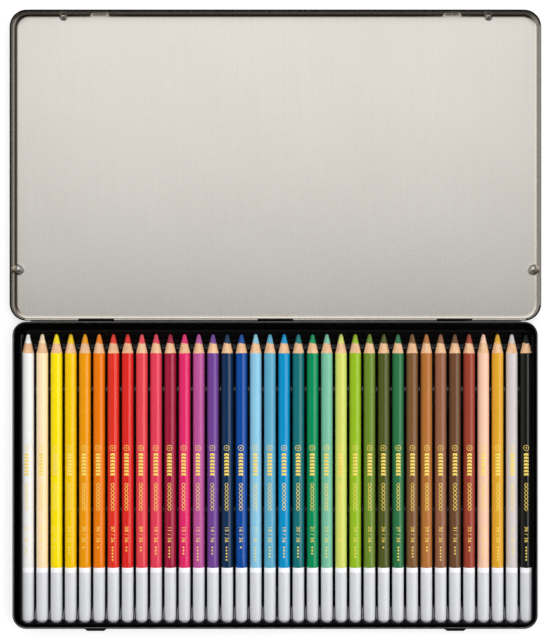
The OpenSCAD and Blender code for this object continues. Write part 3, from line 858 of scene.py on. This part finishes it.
# %% Colours of the thirty-six pencils, in the order of the row
palette = [
    ("white", (238, 238, 236)), ("cream", (255, 228, 186)), ("lemon", (250, 226, 0)),
    ("golden_yellow", (243, 198, 0)), ("amber", (235, 152, 0)), ("orange", (234, 122, 0)),
    ("vermilion", (224, 50, 34)), ("scarlet", (222, 40, 32)), ("rose_red", (228, 68, 78)),
    ("crimson", (228, 62, 88)), ("wine_red", (160, 24, 58)), ("pink", (226, 40, 106)),
    ("magenta", (186, 82, 152)), ("violet", (112, 66, 148)), ("navy", (14, 48, 84)),
    ("royal_blue", (6, 72, 156)), ("light_blue", (140, 200, 226)), ("sky_blue", (94, 170, 198)),
    ("cerulean", (0, 146, 200)), ("teal", (16, 112, 116)), ("green", (0, 142, 88)),
    ("mint", (120, 192, 160)), ("yellow_green", (214, 220, 108)), ("grass_green", (150, 190, 30)),
    ("olive", (108, 138, 42)), ("dark_green", (80, 88, 32)), ("moss_green", (42, 116, 70)),
    ("mid_brown", (124, 86, 50)), ("orange_brown", (180, 112, 50)),
    ("pinkish_brown", (148, 96, 68)), ("dark_brown", (110, 72, 46)), ("brick_red", (156, 62, 42)),
    ("peach", (248, 200, 172)), ("ochre", (224, 166, 40)), ("light_grey", (212, 204, 202)),
    ("black", (22, 24, 20))]
print(len(palette), "colours")

# %% Materials of a pencil
silver_dip = mottled("silver_dip", (216, 217, 221), amount=0.015, clouds=120.0, rough=(0.36, 0.42),
                     bump_mm=0.001, Specular_IOR_Level=1.0)
white_band = mottled("white_band", (252, 252, 255), amount=0.01, clouds=60.0, rough=(0.3, 0.36),
                     bump_mm=0.003)
cedar_wood = new_material(
    "cedar_wood", cedar, {"Light": srgb(240, 200, 156), "Dark": srgb(216, 164, 122)}, bump_mm=0.01)
gold_foil = mottled("gold_foil", (250, 220, 100), amount=0.05, clouds=300.0, rough=(0.35, 0.45),
                    bump_mm=0.003)


def coat_material(name, colour):
    return mottled("coat_" + name, colour, amount=0.012, clouds=70.0, rough=(0.08, 0.11),
                   bump_mm=0.0002, specks=500.0, Specular_IOR_Level=0.38)


def lead_material(name, colour):
    """Bare pigment, a little paler than the coat."""
    soft = colour if name == "black" else [int(v * 0.96 + 255 * 0.04) for v in colour]
    return mottled("lead_" + name, soft, amount=0.12, clouds=350.0, rough=(0.6, 0.75),
                   bump_mm=0.03, specks=2500.0)

# %% Turn one pencil
DIP, BAND, COAT, CEDAR, LEAD = range(5)
CONE_LEN, POINT_R, LEAD_R, TIP_WEAR = 12.0, 0.95, 2.1, 0.35
DIP_TO, BAND_TO = 30.8, 33.7
SEGMENTS = 40
CONE_FROM = PENCIL_LEN - CONE_LEN
cone_reach = CONE_LEN - POINT_R
cone_angle = (math.atan(BARREL_R / cone_reach)
              - math.asin(POINT_R / math.hypot(cone_reach, BARREL_R)))
LEAD_FROM = CONE_FROM + (BARREL_R - LEAD_R) / math.tan(cone_angle)
TIP_R = POINT_R + 0.23 * TIP_WEAR
TIP_S = PENCIL_LEN - TIP_WEAR - TIP_R


def cone_radius(s):
    return BARREL_R - (s - CONE_FROM) * math.tan(cone_angle)


def pencil_rings():
    """The rings of a pencil: place along it, radius and material."""
    rings = [(DOME_BALL * (1 - math.cos(t)), DOME_BALL * math.sin(t), DIP)
             for t in np.linspace(0.12, math.asin(BARREL_R / DOME_BALL), 8)[:-1]]
    on_barrel = [
        (2.05, 0.035, DIP), (2.5, 0, DIP), (10.0, 0, DIP), (20.0, 0, DIP), (DIP_TO - 0.15, 0, DIP),
        (DIP_TO, 0.03, DIP), (DIP_TO, 0.03, BAND), (DIP_TO + 0.1, 0.015, BAND),
        (BAND_TO - 0.1, 0.015, BAND), (BAND_TO, 0.03, BAND), (BAND_TO, 0.03, COAT),
        (BAND_TO + 0.2, 0, COAT), *((s, 0, COAT) for s in range(50, 151, 20)),
        (CONE_FROM - 0.35, 0, COAT), (CONE_FROM - 0.08, 0.02, COAT)]
    on_cone = [
        (CONE_FROM + 0.1, 0.02, COAT), (CONE_FROM + 0.1, 0.045, CEDAR),
        (CONE_FROM + 1.5, 0, CEDAR), (CONE_FROM + 3.5, 0, CEDAR), (LEAD_FROM - 0.9, 0, CEDAR),
        (LEAD_FROM, 0, CEDAR), (LEAD_FROM, 0.02, LEAD), (LEAD_FROM + 0.9, 0, LEAD),
        (LEAD_FROM + 2.4, 0, LEAD)]
    rings += [(s, BARREL_R - depth, mark) for s, depth, mark in on_barrel]
    rings += [(s, cone_radius(s) - depth, mark) for s, depth, mark in on_cone]
    return rings + [(TIP_S + TIP_R * math.sin(t), TIP_R * math.cos(t), LEAD)
                    for t in np.linspace(cone_angle, 1.45, 6)]


def turned_pencil(rng):
    """Points, faces and materials of one pencil, with its own waves along the sharpener's cuts."""
    rings = pencil_rings()
    ring_marks = [mark for _, _, mark in rings]
    first_cut = ring_marks.index(CEDAR)
    border = ring_marks.index(LEAD) - 1
    phase = [rng.uniform(0, 2 * math.pi) for _ in range(4)]
    points = []
    for r, (s, radius, _) in enumerate(rings):
        for k in range(SEGMENTS):
            a = 2 * math.pi * k / SEGMENTS
            along, out = s, radius
            if r in (border, border + 1):
                wave = (0.10 * math.sin(3 * a + phase[0]) + 0.08 * math.sin(5 * a + phase[1])
                        - 0.28 * math.sin(a + 0.3))
                along, out = s + wave, cone_radius(s + wave) - (0.02 if r > border else 0.0)
            elif first_cut - 2 <= r <= first_cut:
                along += 0.07 * math.sin(2 * a + phase[2]) + 0.05 * math.sin(5 * a + phase[3])
            elif border + 1 < r <= border + 3:
                out -= 0.035 * (0.5 + 0.5 * math.sin(7 * a + phase[1]))
            points.append((out * math.sin(a), along, out * math.cos(a)))
    faces = [(a, d, c, b) for a, b, c, d in grid_faces(len(rings), SEGMENTS, around_cols=True)]
    marks = [mark for mark in ring_marks[1:] for _ in range(SEGMENTS)]
    blunt, tip, last = len(points), len(points) + 1, (len(rings) - 1) * SEGMENTS
    points += [(0.0, 0.0, 0.0), (0.0, PENCIL_LEN - TIP_WEAR, 0.0)]
    for k in range(SEGMENTS):
        j = (k + 1) % SEGMENTS
        faces += [(blunt, k, j), (tip, last + j, last + k)]
        marks += [DIP, LEAD]
    return points, faces, marks

# %% [markdown]
# ## Gold foil on the barrels
#
# Each barrel carries hot-stamped gold marks. Here they are plain: a ring, a row of bold
# chevrons, a fine braid, the pencil's number in the row, and one to five dots. Rows of equal
# marks follow a rule, so Geometry Nodes lays them out: a line of points, one mark on each, then
# every point is wrapped round the barrel. The numbers are text turned into a mesh, cut into
# narrow strips and wrapped in the same way.

# %% Geometry Nodes: a row of marks wrapped on a barrel
FOIL_R = BARREL_R + 0.006


def mark_tree():
    tree, given, out, identifiers = new_tree(
        "Foil Marks", "GeometryNodeTree",
        [("Count", "Int", 5), ("Pitch", "Float", 0.002), ("Start", "Float", 0.0),
         ("Width", "Float", 0.002), ("Length", "Float", 0.001), ("Slope", "Float", 0.0),
         ("Round", "Bool", False), ("Barrel Radius", "Float", 0.0035), ("Material", "Material")],
        [("Geometry", "Geometry")])

    def calc(operation, a, b=0.0):
        return math_node(tree, operation, a, b)

    def vector(**parts):
        return add(tree, "ShaderNodeCombineXYZ", parts).outputs[0]

    line = add(tree, "GeometryNodeMeshLine", {
        "Count": given["Count"], "Start Location": vector(Y=given["Start"]),
        "Offset": vector(Y=given["Pitch"])})
    bar = add(tree, "GeometryNodeMeshGrid", {
        "Vertices X": 9, "Vertices Y": 2, "Size X": given["Width"], "Size Y": given["Length"]})
    dot = add(tree, "GeometryNodeMeshCircle", {
        "Vertices": 12, "Radius": calc("MULTIPLY", given["Width"], 0.5)}, fill_type="TRIANGLE_FAN")
    choose = add(tree, "GeometryNodeSwitch", {
        "Switch": given["Round"], "False": bar.outputs["Mesh"], "True": dot.outputs["Mesh"]},
        input_type="GEOMETRY")
    marks = add(tree, "GeometryNodeInstanceOnPoints", {
        "Points": line.outputs["Mesh"], "Instance": choose.outputs["Output"]})
    real = add(tree, "GeometryNodeRealizeInstances", {"Geometry": marks.outputs["Instances"]})
    where = add(tree, "ShaderNodeSeparateXYZ", {
        0: tree.nodes.new("GeometryNodeInputPosition").outputs[0]}).outputs
    radius = given["Barrel Radius"]
    angle = calc("DIVIDE", where["X"], radius)
    lean = calc("MULTIPLY", calc("ABSOLUTE", where["X"]), given["Slope"])
    wrapped = vector(X=calc("MULTIPLY", calc("SINE", angle), radius),
                     Y=calc("ADD", where["Y"], lean),
                     Z=calc("MULTIPLY", calc("COSINE", angle), radius))
    move = add(tree, "GeometryNodeSetPosition", {
        "Geometry": real.outputs["Geometry"], "Position": wrapped})
    paint = add(tree, "GeometryNodeSetMaterial", {
        "Geometry": move.outputs["Geometry"], "Material": given["Material"]})
    fill(tree, out, {"Geometry": paint.outputs["Geometry"]})
    return tree, identifiers

foil_nodes = mark_tree()
foil_host = bpy.data.objects.new("foil_host", bpy.data.meshes.new("foil_host"))
scene.collection.objects.link(foil_host)


def foil_row(count, pitch, start, width, length=0.0, slope=0.0, dots=False):
    """A row of marks. All lengths are in millimetres along and across the barrel."""
    mesh = bake_nodes(foil_host, *foil_nodes, {
        "Count": count, "Pitch": pitch * MM, "Start": start * MM, "Width": width * MM,
        "Length": length * MM, "Slope": slope, "Round": dots,
        "Barrel Radius": float(FOIL_R * MM), "Material": gold_foil})
    return mesh_lists(mesh)

# %% Numbers, braid and ring as wrapped foil
def digit_lists(text, height):
    """A number that reads along the barrel, as flat strips bent to the barrel's radius."""
    curve = bpy.data.curves.new("number", "FONT")
    curve.body, curve.size, curve.offset = text, height * MM, 0.00001
    curve.space_character = 1.12
    curve.align_x, curve.align_y = "CENTER", "CENTER"
    holder = bpy.data.objects.new("number", curve)
    scene.collection.objects.link(holder)
    bpy.context.view_layer.update()
    graph = bpy.context.evaluated_depsgraph_get()
    mesh = bpy.data.meshes.new_from_object(holder.evaluated_get(graph))
    bpy.data.objects.remove(holder)
    work = bmesh.new()
    work.from_mesh(mesh)
    bmesh.ops.rotate(work, verts=work.verts, matrix=Matrix.Rotation(-math.pi / 2, 3, "Z"))
    for cut in np.arange(-1.6, 1.61, 0.4):
        bmesh.ops.bisect_plane(work, geom=[*work.verts, *work.edges, *work.faces],
                               plane_co=(cut * MM, 0, 0), plane_no=(1, 0, 0))
    for v in work.verts:
        a = v.co.x / (FOIL_R * MM)
        v.co.x, v.co.z = math.sin(a) * FOIL_R * MM, math.cos(a) * FOIL_R * MM
    work.to_mesh(mesh)
    work.free()
    return mesh_lists(mesh)


def on_foil(across, along):
    return FOIL_R * math.sin(across / FOIL_R), along, FOIL_R * math.cos(across / FOIL_R)


def wave_lists(start, length, width, period, thick=0.32, steps=14):
    """Two thin wavy ribbons that cross like a braid, wrapped on the barrel."""
    ribbons = []
    count = int(length / period * steps)
    for sign in (-1, 1):
        points = []
        for q in range(count + 1):
            mid = sign * width / 2 * math.sin(math.pi * q / steps)
            lean = width / 2 * math.pi / period * math.cos(math.pi * q / steps)
            half = thick / 2 * math.sqrt(1 + min(lean * lean, 4.0))
            points += [on_foil(x, start + length * q / count) for x in (mid - half, mid + half)]
        ribbons.append((points, grid_faces(count + 1, 2), []))
    return joined(ribbons)


def ring_lists(centre, radius, thick=0.3, steps=28):
    turns = [2 * math.pi * q / steps for q in range(steps)]
    points = [on_foil(r * math.cos(a), centre + r * math.sin(a))
              for a in turns for r in (radius - thick, radius)]
    return points, grid_faces(steps, 2, around_rows=True), []

RING_S, CHEVRONS_S, BRAID_S, NUMBER_S, DOTS_S, DOT_PITCH = 106.0, 90.3, 68.2, 53.9, 46.1, 1.88
numbers = [digit_lists(f"{n:02d} / {PENCILS}", 3.0) for n in range(1, PENCILS + 1)]
ring = joined([ring_lists(RING_S, 1.75), foil_row(1, 1.0, RING_S, 0.9, dots=True)])
chevrons = foil_row(7, 2.0, CHEVRONS_S, 2.8, 1.3, slope=-0.3)
braid = wave_lists(BRAID_S, 16.8, 1.9, 2.4)
dot_rows = {count: foil_row(count, DOT_PITCH, DOTS_S - DOT_PITCH * (count - 1), 1.08, dots=True)
            for count in range(1, 6)}
bpy.data.objects.remove(foil_host)
print("foil faces:", {n: len(f[1]) for n, f in (("ring", ring), ("chevrons", chevrons),
                                                ("braid", braid))})

# %% Put each pencil in its groove
rng = random.Random(36)
dot_counts = [rng.choice((1, 2, 3, 4, 5)) for _ in range(PENCILS)]
body_faces = 0
for index, (name, colour) in enumerate(palette):
    node = f"pencil_{index + 1:02d}"
    centre = np.array([ROW_X0 + PITCH * index, BLUNT_Y, AXIS_Z])
    points, faces, marks = turned_pencil(rng)
    pencil = make_piece(
        node + "_body", (np.array(points) + centre, faces, marks),
        [silver_dip, white_band, coat_material(name, colour), cedar_wood,
         lead_material(name, colour)], weld=0.0005)
    finish_piece(pencil, node, "pencil_" + name, node)
    body_faces += len(pencil.data.polygons)
    digits, digit_faces, _ = numbers[index]
    label = [(x, y + NUMBER_S, z) for x, y, z in digits], digit_faces, []
    points, faces, _ = joined([ring, chevrons, braid, label, dot_rows[dot_counts[index]]])
    roll = math.radians(rng.uniform(-7, 3))
    turn = np.array([[math.cos(roll), 0, math.sin(roll)], [0, 1, 0],
                     [-math.sin(roll), 0, math.cos(roll)]])
    foil = make_piece(node + "_foil", (np.array(points) @ turn.T + centre, faces, []),
                      [gold_foil], recalc=False, weld=0)
    finish_piece(foil, node, "pencil_" + name)
print("pencil bodies:", body_faces, "faces in all")

# %% [markdown]
# ## Table, light and camera
#
# The tin was photographed from straight above on white. A studio keeps each light off the parts
# that it would spoil, and so do these: one broad soft box above the open lid lights only the lid
# and the table, and a box on the right and one behind light the pencils, tray and base. Glossy
# surfaces see a dark sky with low glows at its sides and ends, which draw the dark and pale lines
# along every bend of metal and barrel. The table is white to the camera and still takes the
# tin's shadow, but not in the strip of floor under the hinge, which stays dark.

# %% The table
FLOOR_GLOW = 0.62
# the strip under the hinge, in metres
STRIP_HALF_X, STRIP_Y, STRIP_HALF_Y = 0.149, 0.0925, 0.0022
table_material = bpy.data.materials.new("table_white")
table_material.use_nodes = True
tree = table_material.node_tree
speckle = add(tree, "ShaderNodeTexNoise", {"Scale": 40.0}).outputs["Fac"]
camera_ray = tree.nodes.new("ShaderNodeLightPath").outputs["Is Camera Ray"]
glow = math_node(tree, "MULTIPLY", camera_ray, FLOOR_GLOW)
spot = tree.nodes.new("ShaderNodeTexCoord").outputs["Object"]
where = add(tree, "ShaderNodeSeparateXYZ", {0: spot}).outputs


def outside_strip(value, middle, half):
    away = math_node(tree, "ABSOLUTE", math_node(tree, "SUBTRACT", value, middle))
    return math_node(tree, "GREATER_THAN", away, half)

clear = math_node(tree, "MAXIMUM", outside_strip(where["X"], 0.0, STRIP_HALF_X),
                  outside_strip(where["Y"], STRIP_Y, STRIP_HALF_Y))
fill(tree, tree.nodes["Principled BSDF"], {
    "Base Color": ranged(tree, speckle, 0.0, 1.0, 0.455, 0.47), "Roughness": 0.9,
    "Emission Color": (1, 1, 1, 1), "Emission Strength": math_node(tree, "MULTIPLY", glow, clear)})
TABLE_HALF, TABLE_Z = 3000, -0.2
table_corners = [(x * TABLE_HALF, y * TABLE_HALF, TABLE_Z)
                 for x, y in ((-1, -1), (1, -1), (1, 1), (-1, 1))]
table = make_piece("table", (table_corners, [(0, 1, 2, 3)], []), [table_material], recalc=False,
                   weld=0)

# %% Sky
world = bpy.data.worlds.new("studio")
scene.world = world
world.use_nodes = True
tree = world.node_tree
generated = tree.nodes.new("ShaderNodeTexCoord").outputs["Generated"]
direction = add(tree, "ShaderNodeSeparateXYZ", {0: generated}).outputs
DARK_SKY = 0.02
# each glow: the axis, where on it the glow begins and is full, and its full brightness
glows = [ranged(tree, direction[axis], start, full, DARK_SKY, level)
         for axis, start, full, level in (("X", 0.60, 0.90, 0.40), ("X", -0.30, -0.85, 0.38),
                                          ("Y", 0.36, 0.62, 0.28), ("Y", -0.33, -0.70, 0.06))]
side_glow = math_node(tree, "MAXIMUM", math_node(tree, "MAXIMUM", *glows[:2]),
                      math_node(tree, "MAXIMUM", *glows[2:]))
seen = tree.nodes.new("ShaderNodeLightPath").outputs
for_gloss = mix_colour(tree, seen["Is Glossy Ray"], (0.62, 0.62, 0.625, 1), side_glow)
fill(tree, tree.nodes["Background"], {
    "Color": mix_colour(tree, seen["Is Camera Ray"], for_gloss, (1, 1, 1, 1)), "Strength": 1.0})

# %% Soft boxes, each given by its middle, where it looks and its size, and what it lights
def soft_box(name, place, aim, size_x, size_y, level, colour=(1, 1, 1)):
    lamp = bpy.data.lights.new(name, "AREA")
    lamp.shape, lamp.size, lamp.size_y = "RECTANGLE", size_x, size_y
    lamp.energy = level * math.pi * size_x * size_y
    lamp.color = colour
    holder = bpy.data.objects.new(name, lamp)
    scene.collection.objects.link(holder)
    out = (Vector(place) - Vector(aim)).normalized()
    along_y = Vector((0, 1, 0))
    across = along_y.cross(out).normalized()
    turn = Matrix((across, out.cross(across), out)).transposed().to_4x4()
    holder.matrix_world = Matrix.Translation(place) @ turn
    holder.visible_camera = False
    return holder

over = soft_box("box_over_lid", (-0.04, 0.88, 1.3), (-0.04, 0.88, 0.0), 1.55, 1.6, 1.12,
                (1.0, 0.995, 0.985))
right = soft_box("box_right", (1.62, -0.2, 1.62), (0.0, -0.2, 0.0), 2.2, 1.1, 2.3)
behind = soft_box("box_behind", (0.0, 1.6, 0.9), (0.0, 0.1, 0.0), 2.4, 0.8, 3.5)

pieces = [piece for piece in scene.objects if piece.type == "MESH"]
for lamp, lit_pieces in ((over, [lid, table]), (right, [p for p in pieces if p != lid]),
                         (behind, [p for p in pieces if p not in (lid, table)])):
    lit = bpy.data.collections.new("lit_by_" + lamp.name)
    for piece in lit_pieces:
        lit.objects.link(piece)
    lamp.light_linking.receiver_collection = lit

# %% The camera
CAMERA_MM = (40.0, 94.0, 954.5)
PIXELS_PER_MM = 1.6538
# the picture's size, and the pixel straight below the camera
WIDE_PX, HIGH_PX = 552, 640
FOOT_PX = (341.7, 318.7)
SENSOR = 36.0
camera_data = bpy.data.cameras.new("camera")
camera = bpy.data.objects.new("camera", camera_data)
scene.collection.objects.link(camera)
camera.location = [v * MM for v in CAMERA_MM]
camera.rotation_euler = (0, 0, 0)
camera_data.sensor_width = SENSOR
camera_data.lens = SENSOR * PIXELS_PER_MM * (CAMERA_MM[2] - AXIS_Z) / HIGH_PX
camera_data.shift_x = (WIDE_PX / 2 - FOOT_PX[0]) / HIGH_PX
camera_data.shift_y = (FOOT_PX[1] - HIGH_PX / 2) / HIGH_PX
camera_data.clip_start, camera_data.clip_end = 0.01, 20.0
scene.camera = camera
scene.view_settings.view_transform = "Standard"
print("lens", round(camera_data.lens, 2), "shift", round(camera_data.shift_x, 3),
      round(camera_data.shift_y, 4))
